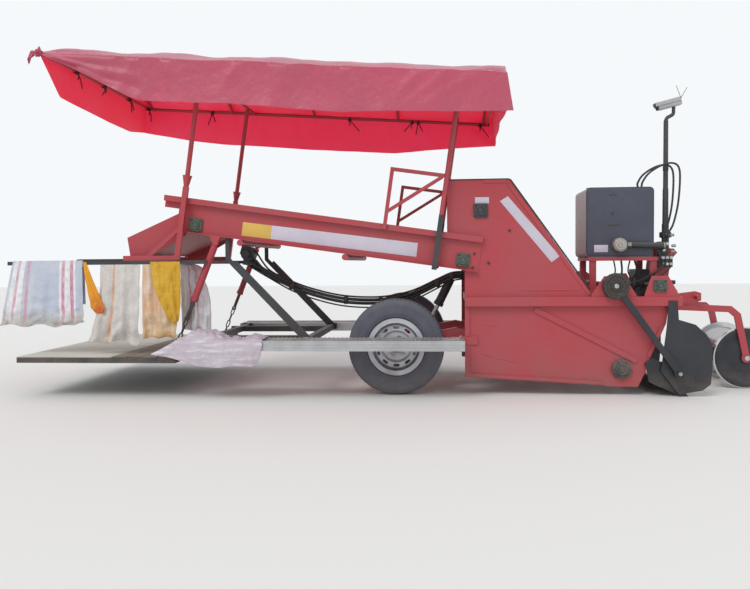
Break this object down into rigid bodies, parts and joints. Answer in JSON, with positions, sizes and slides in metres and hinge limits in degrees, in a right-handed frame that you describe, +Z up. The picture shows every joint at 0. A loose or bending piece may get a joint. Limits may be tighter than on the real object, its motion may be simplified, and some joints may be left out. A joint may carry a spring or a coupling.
{
  "type": "potato harvester",
  "caption": "Trailed potato harvester: lifting share, rod-chain elevator, sloping picking belt under a cloth roof, side planks and a folding rear platform for filling sacks.",
  "frame": {"origin": "on the ground under the middle of the machine's whole length and width", "axes": "+X towards the hitch and share, +Y to the machine's left, +Z up"},
  "size_m": [6.21, 2.224, 2.8842],
  "materials": {
    "red_paint": "dusty, rust at edges",
    "black_paint": "satin, dusty",
    "green_paint": "satin",
    "soil_polished_steel": "ground bright by soil, rust in corners",
    "chain_steel": "dull, dusty",
    "roller_steel": "polished by soil",
    "rim_steel": "silver grey paint",
    "tyre_rubber": "dusty",
    "plank_aluminium": "mill finish",
    "chrome": "hard chrome",
    "tank_paint": "grey, satin",
    "cap_aluminium": "cast",
    "camera_white": "powder coated",
    "hose_rubber": "matt",
    "canopy_cloth": "coated woven cloth, dusty",
    "sack_striped_cloth": "woven strip cloth with stripes",
    "sack_pale_cloth": "woven strip cloth",
    "sack_bright_cloth": "knitted net",
    "sack_lilac_cloth": "knitted net",
    "platform_board": "weathered board on a painted frame"
  },
  "bodies": {
    "chassis": {"main_frame": "red_paint", "side_panel_right": "red_paint", "side_panel_left": "red_paint", "hood_cover": "red_paint", "elevator_chain": "chain_steel", "elevator_rollers": "chain_steel", "hub_bearings": "black_paint", "pillow_bearings": "green_paint", "drive_shafts": "chain_steel", "shaker_rods": "black_paint", "gearbox": "black_paint", "share": "soil_polished_steel", "share_shields": "black_paint", "hitch_mast": "red_paint", "tank": "tank_paint", "tank_stand": "red_paint", "filter_cap": "cap_aluminium", "suction_line": "black_paint", "camera_mast": "black_paint", "camera": "camera_white", "deck_side_right": "red_paint", "deck_side_left": "red_paint", "deck_crossbars": "red_paint", "picking_belt": "chain_steel", "belt_rollers": "chain_steel", "belt_motor": "black_paint", "chute": "red_paint", "chute_frame": "red_paint", "front_posts": "black_paint", "canopy_poles": "red_paint", "canopy_frame": "red_paint", "canopy_cover": "canopy_cloth", "guard_gates": "red_paint", "bag_rack": "black_paint", "sack_striped": "sack_striped_cloth", "sacks_pale": "sack_pale_cloth", "sacks_bright": "sack_bright_cloth", "walkway_frame": "black_paint", "hose_bundle": "hose_rubber", "mast_hose": "hose_rubber", "roller_frame": "red_paint"},
    "axle_arms": {"wheel_arms": "red_paint"},
    "wheel_right": {"tyre_right": "tyre_rubber", "rim_right": "rim_steel"},
    "wheel_left": {"tyre_left": "tyre_rubber", "rim_left": "rim_steel"},
    "lift_barrel": {"lift_barrel": "black_paint"},
    "lift_rod": {"lift_rod": "chrome"},
    "plank_right": {"plank_right": "plank_aluminium", "sack_on_plank": "sack_lilac_cloth"},
    "plank_left": {"plank_left": "plank_aluminium"},
    "rear_platform": {"rear_platform": "platform_board"},
    "tail_barrels": {"tail_barrels": "red_paint"},
    "tail_rods": {"tail_rods": "chrome"},
    "roller": {"front_roller": "roller_steel"}
  },
  "joints": [
    {"name": "wheel_lift", "type": "hinge", "parent": "chassis", "child": "axle_arms", "pos_m": [0.523, 0, 0.47], "axis": [0, -1, 0], "range_deg": [0, 20]},
    {"name": "wheel_right_spin", "type": "hinge", "parent": "axle_arms", "child": "wheel_right", "pos_m": [0.045, -0.66, 0.38], "axis": [0, 1, 0], "continuous": true},
    {"name": "wheel_left_spin", "type": "hinge", "parent": "axle_arms", "child": "wheel_left", "pos_m": [0.045, 0.66, 0.38], "axis": [0, 1, 0], "continuous": true},
    {"name": "lift_barrel_swing", "type": "hinge", "parent": "chassis", "child": "lift_barrel", "pos_m": [0.495, 0, 0.93], "axis": [0, -1, 0], "range_deg": [0, 3.45]},
    {"name": "lift_rod_slide", "type": "slide", "parent": "lift_barrel", "child": "lift_rod", "axis": [-0.4428, 0, -0.8966], "range_m": [0, 0.0762]},
    {"name": "plank_right_fold", "type": "hinge", "parent": "chassis", "child": "plank_right", "pos_m": [-0.5, -0.764, 0.452], "axis": [-1, 0, 0], "range_deg": [0, 88]},
    {"name": "plank_left_fold", "type": "hinge", "parent": "chassis", "child": "plank_left", "pos_m": [-0.5, 0.764, 0.452], "axis": [1, 0, 0], "range_deg": [0, 88]},
    {"name": "tail_fold", "type": "hinge", "parent": "chassis", "child": "rear_platform", "pos_m": [-1.635, 0, 0.29], "axis": [0, 1, 0], "range_deg": [0, 28], "deforming": ["sacks_pale", "sack_striped", "sacks_bright"]},
    {"name": "tail_barrel_swing", "type": "hinge", "parent": "chassis", "child": "tail_barrels", "pos_m": [-1.397, 0, 1.211], "axis": [0, -1, 0], "range_deg": [0, 1.25]},
    {"name": "tail_rod_slide", "type": "slide", "parent": "tail_barrels", "child": "tail_rods", "axis": [0.3747, 0, 0.9271], "range_m": [0, 0.0576]},
    {"name": "roller_spin", "type": "hinge", "parent": "chassis", "child": "roller", "pos_m": [2.855, 0, 0.25], "axis": [0, 1, 0], "continuous": true}
  ],
  "couplings": [
    {"joint": "lift_barrel_swing", "follows": "wheel_lift", "ratio": 0.171},
    {"joint": "lift_rod_slide", "follows": "wheel_lift", "m_per_rad": 0.218},
    {"joint": "tail_barrel_swing", "follows": "tail_fold", "ratio": 0.044},
    {"joint": "tail_rod_slide", "follows": "tail_fold", "m_per_rad": 0.1177}
  ]
}
